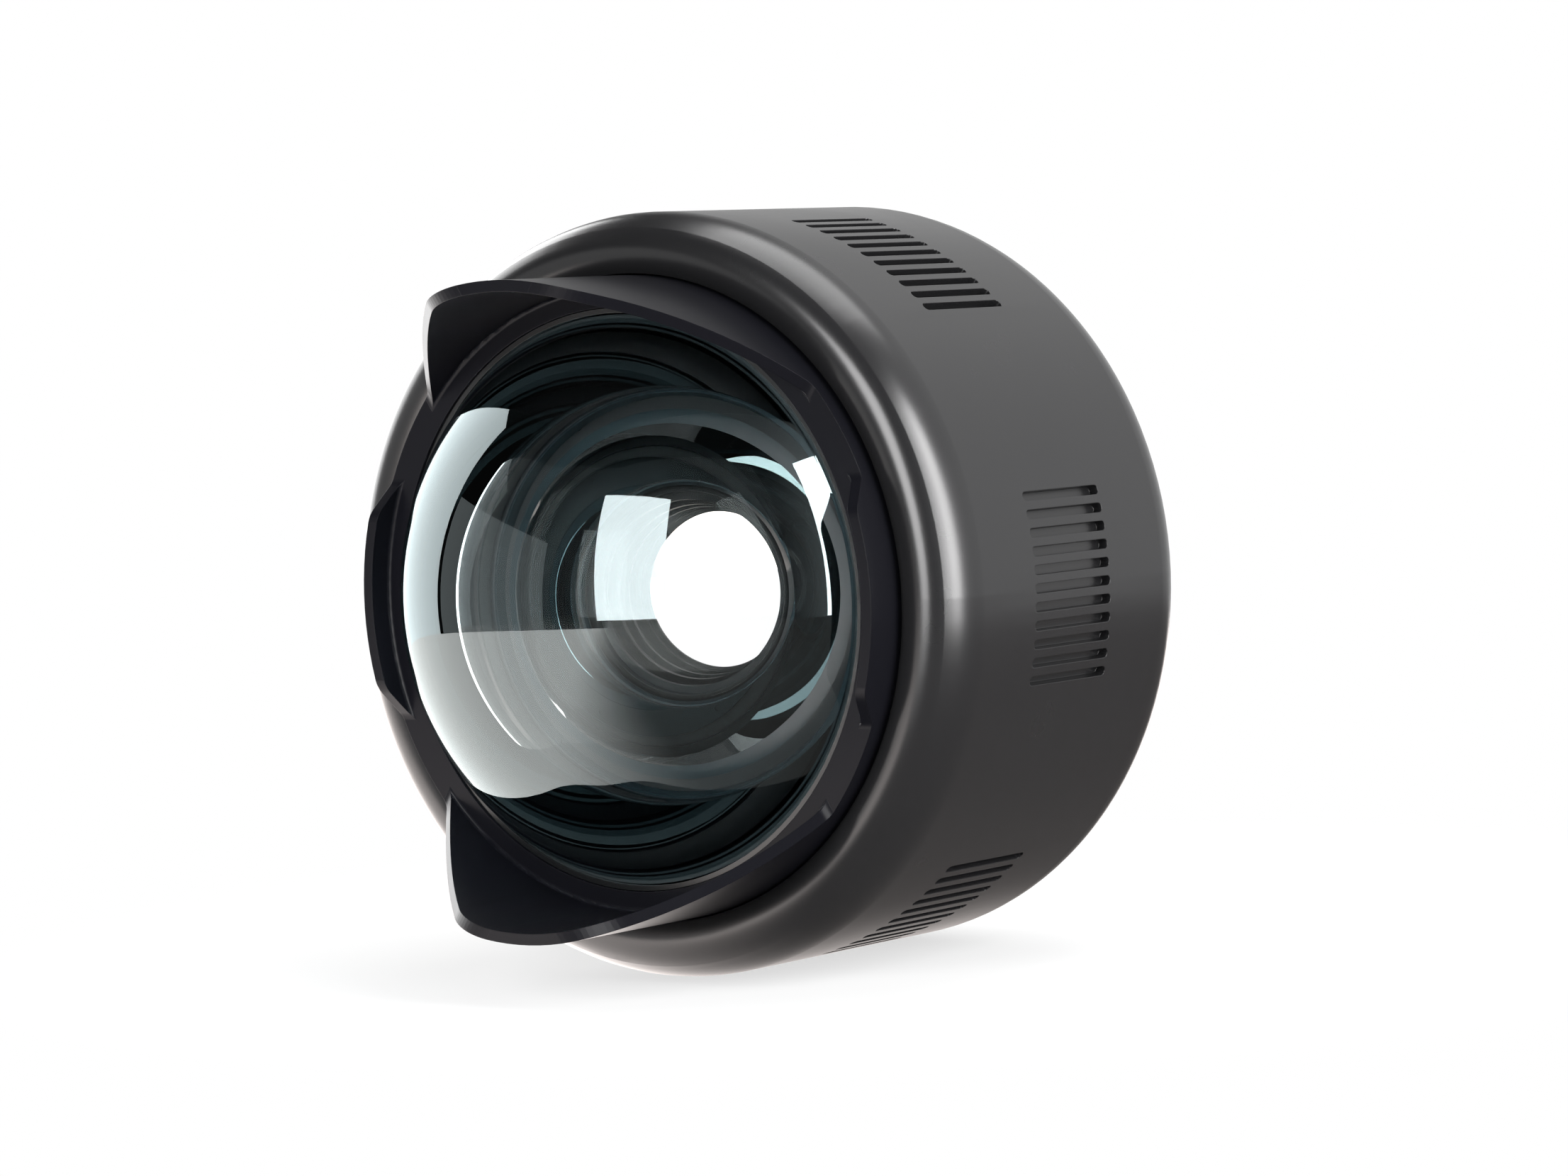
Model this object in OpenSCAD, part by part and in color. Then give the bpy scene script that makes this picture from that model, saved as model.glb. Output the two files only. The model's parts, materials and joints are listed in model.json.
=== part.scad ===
// Wide angle conversion port for an underwater camera housing.
// The optical axis lies along Y. The glass looks toward -Y, the bayonet points toward +Y and +Z is up.
// The origin is on the axis, in the plane where the port's flange seats on a housing.
// Places along the axis are stations: the distance forward of that plane.

/* [Float collar] */
// Radial depth of the collar round its front opening
collar_deep = 15; // [14.5:0.5:17.5]
// Distance from the start of the front shoulder to the barrel's front face
collar_shoulder_set = 14.7; // [12:0.1:17]
// Radius of the rear outer edge
collar_rear_round = 13; // [9:0.5:15]
// Radius of the front shoulder
collar_shoulder_round = 18.5; // [17:0.5:20]
// Angle through which the shoulder turns before the nose starts
collar_shoulder_turn = 37; // [30:1:45]
// Radius of the rolled nose at the front opening
collar_nose_round = 8; // [7.5:0.25:9]
// Wall of the collar's outside
collar_wall = 6; // [5:0.5:7]
// Wall of the neck behind the front opening
collar_neck_wall = 3.5; // [2.5:0.25:4.5]
// Length over which the neck holds the sleeve
collar_neck_grip = 10.9; // [9:0.1:13]
// Thickness of the rear plate
collar_plate_t = 8; // [7:0.5:10]
// Room between the sleeve and the shell's ledge that the rear plate is screwed to
collar_ledge_room = 2.7; // [1.5:0.1:3]
// Thickness of that ledge
collar_ledge_t = 7; // [6:0.5:10]
// Wall of the sleeve that joins the rear plate to the neck
collar_sleeve_wall = 2; // [1.6:0.1:2]
// Thickness of the plate's inner lip behind the barrel
collar_lip_t = 4; // [3.5:0.25:5]

/* [Grip slots] */
// Number of slot groups round the collar
slot_groups = 6; // [3:1:6]
// Number of slots in a group
slots_in_group = 11; // [5:1:12]
// Distance from slot to slot round the collar
slot_pitch = 4.5; // [4:0.1:5]
// Width of a slot
slot_w = 2.4; // [1.6:0.1:3]
// Length of a slot with its round ends
slot_l = 32.5; // [20:0.5:36]
// Depth of a slot
slot_deep = 2.5; // [1:0.25:3]
// Distance from the collar's rear face to the slots
slot_back = 36.5; // [30:0.5:42]

/* [Petal hood] */
// Radial room between the front glass and the hood's opening
hood_bore_room = 0.5; // [0.4:0.05:0.8]
// Wall of the petals
hood_wall = 2.8; // [2.2:0.1:3]
// Thickness of the hood's front ring
hood_ring_t = 3.2; // [2.6:0.1:4]
// Height of the upper and lower petals above the ring
tall_petal_h = 44; // [30:1:50]
// Half the angle that the foot of an upper or lower petal spans
tall_petal_half = 49.8; // [44:0.1:52]
// Radius of the corners of an upper or lower petal
tall_petal_round = 24; // [10:1:28]
// Height of the side petals above the ring
side_petal_h = 6.3; // [4:0.1:10]
// Half the angle that the foot of a side petal spans
side_petal_half = 22.3; // [18:0.1:26]
// Radius of the corners of a side petal
side_petal_round = 6; // [2:0.5:8]
// Slope of the flanks of an upper or lower petal
tall_petal_slope = 42.7; // [38:0.1:50]
// Slope of the flanks of a side petal
side_petal_slope = 39; // [34:0.5:45]
// Radius where a flank meets the ring
petal_foot_round = 5; // [2:0.5:6]
// Small radius inside, where a petal meets the ring
petal_crease_round = 1; // [0.4:0.1:1.4]

/* [Barrel] */
// Wall of the nose outside the thread of the front ring
nose_wall = 2; // [1.6:0.1:3]
// Step from the nose up to the lands that carry the collar
land_step = 1.6; // [1.2:0.1:2]
// Length of the nose
barrel_nose_l = 15.2; // [14:0.2:16]
// Length of the rear land
rear_land_l = 14; // [12:1:20]
// Length of the front land
front_land_l = 18; // [16:1:22]
// Wall of the waist round the inner cell
waist_wall = 15; // [11:1:16]

/* [Front glass] */
// Height of the dome's bulge over its clear rim
dome_sag = 44.3; // [38:0.1:46]
// Width of the bevel round the clear rim
dome_bevel = 1.05; // [0.8:0.05:1.3]
// Thickness of the dome on the axis
dome_t = 7; // [6:0.5:10]
// Width of the ground seat behind the dome
dome_seat_w = 13.4; // [12:0.1:16]
// Thickness of the ground edge
dome_edge_t = 10.3; // [9.5:0.1:12]
// Width of the front ring round the ground edge
front_ring_w = 2.6; // [2.2:0.1:3.5]
// Radial room between the second element and the dome's hollow
hollow_room = 1.2; // [0.8:0.1:3]

/* [Inner optics] */
// Width of the second element's ledge under its ring
second_ledge_w = 4.7; // [4:0.1:5.2]
// Height of the bulge of the second element's front
second_bulge = 23.8; // [18:0.1:26]
// Width of the flat round the second element's hollow rear
second_flat_w = 18.8; // [15:0.1:24]
// Depth of that hollow
second_hollow = 22.9; // [17:0.1:25]
// Thickness of the second element's edge
second_edge_t = 7; // [6:0.5:8]
// Radial step from the relay group to the third element
third_step = 6.1; // [5:0.1:8]
// Thickness of the third element's edge
third_edge_t = 14; // [11:0.5:14]
// Depth of the hollow in the third element's front
third_dish = 1; // [0.4:0.1:2]
// Height of the bulge of the third element's rear
third_bulge = 7.9; // [5:0.1:8]
// Radial step from the rear element to the relay group, which is the doublet and the sixth element
relay_step = 4.7; // [3:0.1:6]
// Wall of the inner cell round the third element
cell_wall = 3.8; // [3:0.1:5]
// Width of the inner cell's flange
cell_flange_w = 8.7; // [7.5:0.1:10]
// Edge thickness of the doublet's front glass
doublet_front_edge_t = 4; // [3:0.5:5]
// Edge thickness of the doublet's rear glass
doublet_rear_edge_t = 6; // [5:0.5:8]
// Radius of the cemented surface
doublet_round = 220; // [200:5:300]
// Edge thickness of the sixth element
sixth_edge_t = 16; // [12:0.5:17]
// Length of the spacer behind the doublet
spacer_l = 4; // [3:0.5:5]
// Edge thickness of the rear element
rear_glass_edge_t = 8; // [6:0.5:9]
// Height of the bulge of the rear element's front
rear_bulge = 9.3; // [4:0.1:9.5]

/* [Port mount] */
// Diameter of the sealing spigot
spigot_d = 120; // [118:0.5:122]
// Length of the sealing spigot
spigot_l = 9; // [8.5:0.5:12]
// Width of the flange that seats on the housing
flange_w = 9; // [8.5:0.25:10]
// Thickness of the flange
flange_t = 8; // [7:0.5:10]
// Wall of the mount inside the lugs' neck
mount_wall = 11; // [9:0.5:12]
// Number of bayonet lugs
lug_count = 3; // [3:1:6]
// Angle that a lug spans
lug_angle = 42; // [20:1:50]
// Thickness of a lug
lug_t = 4; // [3:0.25:5]
// Radial distance from the spigot's wall to the lugs' outside
lug_set = 1.5; // [1.2:0.1:2]
// Radial distance from the spigot's wall to the neck in front of the lugs
lug_neck_step = 5; // [4:0.25:6]
// Length of that neck
lug_neck_l = 4.5; // [4:0.25:6]

/* [Seals and screws] */
// Radial height of the spigot's seal
port_seal_h = 2.75; // [2.4:0.05:2.8]
// Width of the groove for the spigot's seal
port_seal_w = 3.2; // [2.8:0.1:3.6]
// Depth of the grooves for the face seals
face_seal_h = 1.8; // [1.4:0.1:2]
// Width of the grooves for the face seals
face_seal_w = 2.4; // [2.2:0.1:3]
// Number of screws round each joint
screw_count = 6; // [3:1:8]
// Number of screws round the collar's rear plate
plate_screw_count = 12; // [6:1:12]
// Thread diameter of the screws of the mount
big_screw_d = 4; // [3:0.5:4]
// Thread diameter of the other screws
small_screw_d = 3; // [2:0.5:3]
// Number of set screws that lock the hood
set_screw_count = 3; // [2:1:4]

/* [Hidden] */
$fn = 144;

// Clearances
over = 1;              // how far a cutter runs past what it cuts
turn_gap = 0.05;       // running fit of the hood on the nose
slip_gap = 0.1;        // fit of a part in its bore
sleeve_gap = 0.2;      // collar on the barrel and in the neck
end_gap = 0.3;         // between faces that must not rub
thread_gap = 0.05;     // screw in its hole

// Port mount, from which every other radius follows outward
spigot_r = spigot_d/2;
flange_r = spigot_r + flange_w;
lug_r = spigot_r - lug_set;
lug_neck_r = spigot_r - lug_neck_step;
mount_bore_r = lug_neck_r - mount_wall;
neck_back_y = -spigot_l - lug_neck_l;
lug_back = neck_back_y - lug_t;
port_seal_back = 0.5;
port_seal_mid = -spigot_l/2 - port_seal_back;
port_seal_proud = 0.15;
big_screw_r = big_screw_d/2;
big_head_r = big_screw_d*0.875;
big_head_sink = 0.4;
port_screw_r = (spigot_r + flange_r)/2;
mount_seal_r = spigot_r - port_seal_back;

// Rear cell
barrel_back = flange_t;
rear_room = 1.8;
rear_cell_wall = 3;
rear_thread_wall = 2;
rear_flange_w = 4;
rear_flange_r = mount_bore_r - rear_room;
rear_thread_r = rear_flange_r - rear_flange_w;
rear_cell_r = rear_thread_r - rear_thread_wall;
rear_glass_r = rear_cell_r - rear_cell_wall - slip_gap;
rear_wall_t = 6;
rear_flange_t = 4;
rear_ledge_w = 4;
rear_ledge_t = 2;
rear_ring_t = 3.5;
rear_glass_front = barrel_back;
rear_glass_back = rear_glass_front - rear_glass_edge_t;
rear_cell_lip = 1;
rear_cell_back = rear_glass_back - rear_ring_t - rear_cell_lip;
rear_seal_r = (rear_thread_r + rear_flange_r)/2;

// Inner cell, with the relay group behind and the third element in front
cell_end_room = 4;
cell_back = barrel_back + rear_wall_t + cell_end_room;
relay_r = rear_glass_r + relay_step;
relay_recess = 6;
relay_wall_t = 4;
relay_ledge_w = 2.5;
relay_ring_w = 4.5;
sixth_ring_t = 4;
sixth_dish = 1.8;
sixth_bulge = 4.3;
sixth_back = cell_back + relay_recess + sixth_ring_t;
sixth_front = sixth_back + sixth_edge_t;
doublet_back = sixth_front + spacer_l;
doublet_joint = doublet_back + doublet_rear_edge_t;
doublet_bulge = 3;
doublet_hollow = 1;
doublet_sag = doublet_round - sqrt(pow(doublet_round, 2) - pow(relay_r, 2));
relay_stop = doublet_joint + doublet_front_edge_t;
third_r = relay_r + slip_gap + third_step;
third_ring_t = 3.5;
third_ring_w = 5;
third_ledge_w = 4.5;
third_well = third_bulge + 1.4;
third_back = relay_stop + relay_wall_t + third_well;
cell_r = third_r + slip_gap + cell_wall;
cell_bore_r = cell_r + slip_gap;
cell_flange_t = 5;
cell_flange_r = cell_bore_r + cell_flange_w;
cell_front = third_back + third_edge_t + third_ring_t + 2*slip_gap;
flange_seat = cell_front - cell_flange_t;

// Second element and the ledges under it
second_rim_r = cell_flange_r + slip_gap;
second_r = second_rim_r + second_ledge_w;
second_ring_t = 5;
cell_front_room = 3;
second_back = cell_front + cell_front_room;
second_front = second_back + second_edge_t;
second_ring_front = second_front + second_ring_t - end_gap;

// Front glass
hollow_r = second_rim_r + hollow_room;
dome_edge_r = hollow_r + dome_seat_w;
dome_clear_r = dome_edge_r - dome_bevel;
dome_edge_proud = 1.1;
dome_lip_t = 0.7;
dome_seat = second_front + second_ring_t;
dome_bevel_back = dome_seat + dome_edge_t;
dome_rim = dome_bevel_back + dome_bevel;
dome_round = ball_round(dome_clear_r, dome_sag);
dome_apex = dome_rim + dome_sag;
dome_mid = dome_apex - dome_round;
hollow_apex = dome_apex - dome_t;
hollow_round = ball_round(hollow_r, hollow_apex - dome_seat);
seal_mid_r = (dome_edge_r + hollow_r)/2;

// Barrel
nose_front = dome_bevel_back - dome_edge_proud;
nose_back = nose_front - barrel_nose_l;
land_back = barrel_back + collar_lip_t;
hub_r = flange_r;
waist_r = cell_bore_r + waist_wall;
ring_thread_l = 4;
ring_thread_r = dome_edge_r + front_ring_w;
nose_r = ring_thread_r + nose_wall;
land_r = nose_r + land_step;
set_groove_w = 4;
set_groove_deep = 1.4;
set_groove_front = 8.2;
set_groove_mid = nose_front - set_groove_front;
hood_ring_back = nose_front + end_gap;
hood_face = hood_ring_back + hood_ring_t;

// Collar
plate_room = 1.7;
sleeve_end_room = 2;
sleeve_bore_r = land_r + sleeve_gap;
sleeve_r = sleeve_bore_r + collar_sleeve_wall;
mouth_r = sleeve_r + sleeve_gap;
collar_r = mouth_r + collar_deep;
collar_side_front = nose_front - collar_shoulder_set;
shoulder_mid = [collar_r - collar_shoulder_round, collar_side_front];
nose_mid = shoulder_mid + (collar_shoulder_round - collar_nose_round)
           *[cos(collar_shoulder_turn), sin(collar_shoulder_turn)];
collar_lip = nose_mid[1] + sqrt(pow(collar_nose_round, 2) - pow(nose_mid[0] - mouth_r, 2));
sleeve_front = nose_back - sleeve_end_room;
neck_back = sleeve_front - collar_neck_grip;
neck_r = mouth_r + collar_neck_wall;
chamber_r = collar_r - collar_wall;
plate_r = chamber_r;
plate_front = barrel_back + collar_plate_t;
ledge_r = sleeve_r + collar_ledge_room;
plate_bore_r = hub_r + plate_room;
plate_screw_r = (ledge_r + plate_r)/2;
plate_head_r = plate_r - (plate_r - ledge_r)/6;
mount_screw_r = (plate_bore_r + sleeve_bore_r)/2;

// Small screws
small_screw_r = small_screw_d/2;
small_head_r = small_screw_d*0.93;
small_head_h = small_head_r - small_screw_r;
screw_grip = 8;

// Petal hood
hood_r = sleeve_r - slip_gap - turn_gap;
petal_bore_r = hood_r - hood_wall;
hood_bore_r = dome_edge_r + hood_bore_room;
skirt_r = nose_r + turn_gap;
petal_mid_r = (hood_r + petal_bore_r)/2;
tall_flank_share = 0.66;
side_flank_share = 0;
petal_cut_share = 0.6;
petal_spare_angle = 9;

// Radius of the ball whose surface rises by sag over a rim
function ball_round(rim_r, sag) = (rim_r*rim_r + sag*sag)/(2*sag);

// Turns a half section about the optical axis: x is the radius and y the station
module turned() rotate([90, 0, 0]) rotate_extrude() children();

// A ring with a plain section
module ring(inner, outer, back, front)
    turned() translate([inner, back]) square([outer - inner, front - back]);

// Places a child at an angle from +X toward +Z
module at_angle(angle) rotate([0, -angle, 0]) children();

// Repeats a child evenly round the axis
module round_axis(count, first = 0)
    for (i = [0:count - 1]) at_angle(first + i*360/count) children();

// Half section of a ball with its middle on the axis
module ball(radius, station) intersection() {
    translate([0, station]) circle(r = radius, $fn = 480);
    translate([0, station - radius - over]) square([radius + over, 2*radius + 2*over]);
}

// A rod along the axis at a radius
module rod(at_r, radius, back, front)
    translate([at_r, 0, 0]) rotate([90, 0, 0]) translate([0, 0, back]) cylinder(r = radius, h = front - back, $fn = 32);

// A cone frustum along the axis at a radius
module taper(at_r, back_r, front_r, back, front)
    translate([at_r, 0, 0]) rotate([90, 0, 0]) translate([0, 0, back])
        cylinder(r1 = back_r, r2 = front_r, h = front - back, $fn = 32);

// A round seal that touches the bottom of its groove and the face it seals against
module seal(inner, outer, station)
    turned() translate([(inner + outer)/2, station]) circle(r = (outer - inner)/2, $fn = 24);

// A seal in a groove in a flat face
module face_seal(mid_r, back)
    turned() translate([mid_r, back + face_seal_h/2]) circle(r = face_seal_h/2, $fn = 24);

// Outline of the collar's outside, filled to the axis
module collar_outline() {
    round_mid = [collar_r - collar_rear_round, barrel_back + collar_rear_round];
    square_front = collar_side_front;
    far = 2*collar_shoulder_round;
    translate([0, barrel_back]) square([round_mid[0], collar_rear_round]);
    translate(round_mid) circle(r = collar_rear_round);
    translate([0, round_mid[1]]) square([collar_r, square_front - round_mid[1]]);
    intersection() {
        translate(shoulder_mid) circle(r = collar_shoulder_round);
        translate(shoulder_mid)
            polygon([[0, 0], [far, 0], far*[1, tan(collar_shoulder_turn)]]);
    }
    translate(nose_mid) circle(r = collar_nose_round);
}

// One grip slot, milled into the side at angle zero
module grip_slot() {
    end_r = slot_w/2;
    straight = slot_l - slot_w;
    first = barrel_back + slot_back + end_r;
    translate([collar_r - slot_deep, -first, 0]) rotate([0, 90, 0]) linear_extrude(slot_deep + over) {
        circle(r = end_r, $fn = 24);
        translate([-end_r, -straight]) square([slot_w, straight]);
        translate([0, -straight]) circle(r = end_r, $fn = 24);
    }
}

// Outer shell of the buoyancy collar, with the rolled nose, the neck and the grip slots
module collar_shell() color([0.09, 0.09, 0.095]) {
    pitch_angle = slot_pitch/collar_r*180/PI;
    difference() {
        turned() difference() {
            collar_outline();
            translate([0, barrel_back - over]) square([mouth_r, collar_lip + 2*over]);
            translate([0, barrel_back - over]) square([plate_r + slip_gap, collar_plate_t + over]);
            translate([0, barrel_back]) square([ledge_r, neck_back - barrel_back]);
            translate([neck_r, plate_front + collar_ledge_t])
                square([chamber_r - neck_r, collar_side_front - plate_front - collar_ledge_t]);
            intersection() {
                translate(shoulder_mid) circle(r = collar_shoulder_round - collar_wall);
                translate([neck_r, collar_side_front]) square([chamber_r - neck_r, collar_shoulder_round]);
            }
            translate([mouth_r - over, seal_groove_back()]) square([face_seal_h + over, face_seal_w]);
        }
        for (g = [0:slot_groups - 1], i = [0:slots_in_group - 1])
            at_angle(g*360/slot_groups + (i - (slots_in_group - 1)/2)*pitch_angle) grip_slot();
        round_axis(plate_screw_count, 180/plate_screw_count)
            rod(plate_screw_r, small_screw_r + thread_gap, plate_front - over, plate_front + collar_ledge_t - over);
    }
}
function seal_groove_back() = neck_back + face_seal_w;

// Rear plate of the collar, turned in one with the sleeve that closes the chamber
module collar_rear_plate() color([0.1, 0.1, 0.105]) difference() {
    turned() difference() {
        union() {
            intersection() {
                collar_outline();
                translate([plate_bore_r, barrel_back]) square([plate_r - plate_bore_r, collar_plate_t]);
            }
            translate([sleeve_bore_r, plate_front]) square([collar_sleeve_wall, sleeve_front - plate_front]);
        }
        translate([plate_bore_r - over, land_back])
            square([sleeve_bore_r - plate_bore_r + over, sleeve_front - land_back]);
        translate([plate_r - face_seal_h, rear_groove_back()]) square([face_seal_h + over, face_seal_w]);
    }
    round_axis(plate_screw_count, 180/plate_screw_count) screw_seat(plate_screw_r, plate_head(), plate_front);
    round_axis(screw_count) screw_seat(mount_screw_r, barrel_back, land_back);
}
function rear_groove_back() = barrel_back + collar_plate_t - 2*face_seal_w;
function plate_head() = barrel_back + collar_rear_round
    - sqrt(pow(collar_rear_round, 2) - pow(plate_head_r - collar_r + collar_rear_round, 2));

// Countersunk seat and hole for a small screw
module screw_seat(at_r, back, front) {
    rod(at_r, small_screw_r + thread_gap, back, front + over);
    taper(at_r, small_head_r + thread_gap, small_screw_r + thread_gap, back, back + small_head_h);
    rod(at_r, small_head_r + thread_gap, back - 3*over, back + thread_gap);
}

// Countersunk screw that grips what lies in front of its plate
module small_screw(at_r, back, front) difference() {
    union() {
        taper(at_r, small_head_r, small_screw_r, back, back + small_head_h);
        rod(at_r, small_screw_r, back, front);
    }
    translate([at_r, 0, 0]) rotate([90, 0, 0]) translate([0, 0, back - over])
        cylinder(r = small_screw_r*0.7, h = over + small_head_h, $fn = 6);
}

// Seal between the neck and the sleeve
module collar_front_seal() color([0.03, 0.03, 0.03])
    seal(sleeve_r, mouth_r + face_seal_h, seal_groove_back() + face_seal_w/2);

// Seal round the rear plate
module collar_rear_seal() color([0.03, 0.03, 0.03])
    seal(plate_r - face_seal_h, plate_r + slip_gap, rear_groove_back() + face_seal_w/2);

// Screws that hold the rear plate to the shell
module collar_plate_screws() color([0.6, 0.6, 0.62])
    round_axis(plate_screw_count, 180/plate_screw_count)
        small_screw(plate_screw_r, plate_head(), plate_front + collar_ledge_t - 2*over);

// Screws that hold the collar to the barrel
module collar_mount_screws() color([0.6, 0.6, 0.62])
    round_axis(screw_count) small_screw(mount_screw_r, barrel_back, land_back + screw_grip);

// Main barrel with its two lands, the waist and the nose
module main_barrel() color([0.12, 0.12, 0.125]) difference() {
    turned() difference() {
        union() {
            translate([0, barrel_back]) square([hub_r, rear_land_l]);
            translate([0, land_back]) square([land_r, rear_land_l]);
            translate([0, land_back]) square([waist_r, nose_back - land_back]);
            translate([0, nose_back - front_land_l]) square([land_r, front_land_l]);
            translate([0, nose_back]) square([nose_r, barrel_nose_l]);
        }
        translate([0, barrel_back - over]) square([rear_thread_r + slip_gap, rear_wall_t + 2*over]);
        translate([0, barrel_back + rear_wall_t]) square([cell_bore_r, flange_seat - barrel_back - rear_wall_t]);
        translate([0, flange_seat - over]) square([cell_bore_r, 2*over]);
        translate([0, flange_seat]) square([second_rim_r, second_back - flange_seat + over]);
        translate([0, second_back]) square([second_r + slip_gap, dome_seat - second_back + over]);
        translate([0, dome_seat]) square([dome_edge_r + slip_gap, nose_front - dome_seat + over]);
        translate([0, nose_front - ring_thread_l]) square([ring_thread_r + slip_gap, ring_thread_l + over]);
        translate([nose_r - set_groove_deep, set_groove_mid - set_groove_w/2])
            square([set_groove_deep + over, set_groove_w]);
        translate([seal_mid_r - face_seal_w/2, dome_seat - face_seal_h]) square([face_seal_w, face_seal_h + over]);
        translate([rear_seal_r - face_seal_w/2, barrel_back - over]) square([face_seal_w, face_seal_h + over]);
        translate([mount_seal_r - face_seal_w/2, barrel_back - over]) square([face_seal_w, face_seal_h + over]);
    }
    round_axis(screw_count) rod(mount_screw_r, small_screw_r + thread_gap, land_back - over, land_back + screw_grip + over);
    round_axis(screw_count, 180/screw_count)
        rod(port_screw_r, big_screw_r + thread_gap, barrel_back - over, barrel_back + screw_grip + over);
    round_axis(screw_count) rod(cell_screw_r(), small_screw_r + thread_gap, flange_seat - screw_grip, flange_seat + over);
}
function cell_screw_r() = (cell_bore_r + cell_flange_r)/2;

// Front glass: a deep dome, ground round its edge
module front_element() color([0.55, 0.68, 0.7, 0.35]) turned() difference() {
    intersection() {
        ball(dome_round, dome_mid);
        polygon([[0, dome_seat], [dome_edge_r, dome_seat], [dome_edge_r, dome_bevel_back],
                 [dome_clear_r, dome_rim], [dome_clear_r, dome_apex + over], [0, dome_apex + over]]);
    }
    ball(hollow_round, hollow_apex - hollow_round);
}

// Seal under the front glass
module front_element_seal() color([0.03, 0.03, 0.03])
    face_seal(seal_mid_r, dome_seat - face_seal_h);

// Threaded ring that holds the front glass by its bevel
module front_retaining_ring() color([0.07, 0.07, 0.075]) {
    lip_bore = dome_clear_r + 1.5*slip_gap;
    lip_r = hood_bore_r - 1.5*slip_gap;
    lip_front = dome_rim + dome_lip_t;
    turned() polygon([
        [dome_edge_r + slip_gap, nose_front - ring_thread_l + slip_gap],
        [ring_thread_r, nose_front - ring_thread_l + slip_gap],
        [ring_thread_r, nose_front - slip_gap],
        [lip_r, nose_front - slip_gap],
        [lip_r, lip_front],
        [lip_bore, lip_front],
        [lip_bore, dome_rim + slip_gap],
        [dome_edge_r + slip_gap, dome_bevel_back + 1.5*slip_gap]]);
}

// Second element: a meniscus in the hollow of the dome
module second_element() color([0.5, 0.62, 0.66, 0.35]) {
    front_round = ball_round(second_rim_r, second_bulge);
    rear_round = ball_round(second_rim_r - second_flat_w, second_hollow);
    turned() difference() {
        union() {
            translate([0, second_back]) square([second_r, second_edge_t]);
            intersection() {
                ball(front_round, second_front + second_bulge - front_round);
                translate([0, second_front - over]) square([second_rim_r, front_round]);
            }
        }
        ball(rear_round, second_back + second_hollow - rear_round);
    }
}

// Ring over the edge of the second element
module second_retaining_ring() color([0.07, 0.07, 0.075])
    ring(second_rim_r + slip_gap, second_r, second_front, second_ring_front);

// Cell that carries the inner elements
module inner_cell() color([0.09, 0.09, 0.095]) difference() {
    turned() difference() {
        union() {
            translate([0, cell_back]) square([cell_r, flange_seat - cell_back]);
            translate([0, flange_seat]) square([cell_flange_r, cell_flange_t]);
        }
        translate([0, third_back]) square([third_r + slip_gap, flange_seat + cell_flange_t + over - third_back]);
        translate([0, third_back - third_well]) square([third_r - third_ledge_w, third_well + over]);
        translate([0, cell_back - over]) square([relay_r - relay_ledge_w, third_back - cell_back]);
        translate([0, cell_back - over]) square([relay_r + slip_gap, relay_stop - cell_back + over]);
    }
    round_axis(screw_count) {
        rod(cell_screw_r(), small_screw_r + thread_gap, flange_seat - over, flange_seat + cell_flange_t + over);
        rod(cell_screw_r(), small_head_r + thread_gap, flange_seat + cell_flange_t - 2*small_head_h,
            flange_seat + cell_flange_t + over);
    }
}

// Screws that hold the inner cell in the barrel
module inner_cell_screws() color([0.6, 0.6, 0.62]) {
    head_back = flange_seat + cell_flange_t - 2*small_head_h;
    round_axis(screw_count) difference() {
        union() {
            rod(cell_screw_r(), small_screw_r, flange_seat - screw_grip + over, head_back);
            rod(cell_screw_r(), small_head_r, head_back, head_back + 2*small_head_h - thread_gap);
        }
        translate([cell_screw_r(), 0, 0]) rotate([90, 0, 0]) translate([0, 0, head_back + small_head_h])
            cylinder(r = small_screw_r*0.8, h = small_head_h + over, $fn = 6);
    }
}

// Half section of a low cap on a face, or of the dish cut into one
module cap(rim_r, sag, station, forward) {
    radius = ball_round(rim_r, sag);
    intersection() {
        ball(radius, forward ? station + sag - radius : station - sag + radius);
        translate([0, forward ? station - over : station - sag - over]) square([rim_r, sag + 2*over]);
    }
}

// Third element: thick, slightly hollow in front and bulging behind
module third_element() color([0.5, 0.62, 0.66, 0.35]) {
    rim_r = third_r - third_ring_w;
    turned() difference() {
        union() {
            translate([0, third_back]) square([third_r, third_edge_t]);
            cap(rim_r, third_bulge, third_back, false);
        }
        cap(rim_r, third_dish, third_back + third_edge_t, false);
    }
}

// Ring in front of the third element
module third_retaining_ring() color([0.07, 0.07, 0.075])
    ring(third_r - third_ring_w, third_r, third_back + third_edge_t, third_back + third_edge_t + third_ring_t);

// Ball of the cemented surface, hollow in the rear glass
module doublet_ball() ball(doublet_round, doublet_joint - doublet_sag + doublet_round);

// Front glass of the cemented pair
module doublet_front_element() color([0.5, 0.62, 0.66, 0.35]) turned() union() {
    translate([0, doublet_joint]) square([relay_r, doublet_front_edge_t]);
    cap(relay_r - relay_ledge_w, doublet_bulge, relay_stop, true);
    intersection() {
        doublet_ball();
        translate([0, doublet_joint - doublet_sag - over]) square([relay_r, doublet_sag + 2*over]);
    }
}

// Rear glass of the cemented pair
module doublet_rear_element() color([0.46, 0.58, 0.62, 0.35]) turned() difference() {
    translate([0, doublet_back]) square([relay_r, doublet_rear_edge_t]);
    doublet_ball();
    cap(relay_r - relay_ring_w, doublet_hollow, doublet_back, true);
}

// Spacer between the doublet and the sixth element
module spacer_ring() color([0.08, 0.08, 0.085])
    ring(relay_r - relay_ring_w, relay_r, sixth_front, doublet_back);

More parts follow.
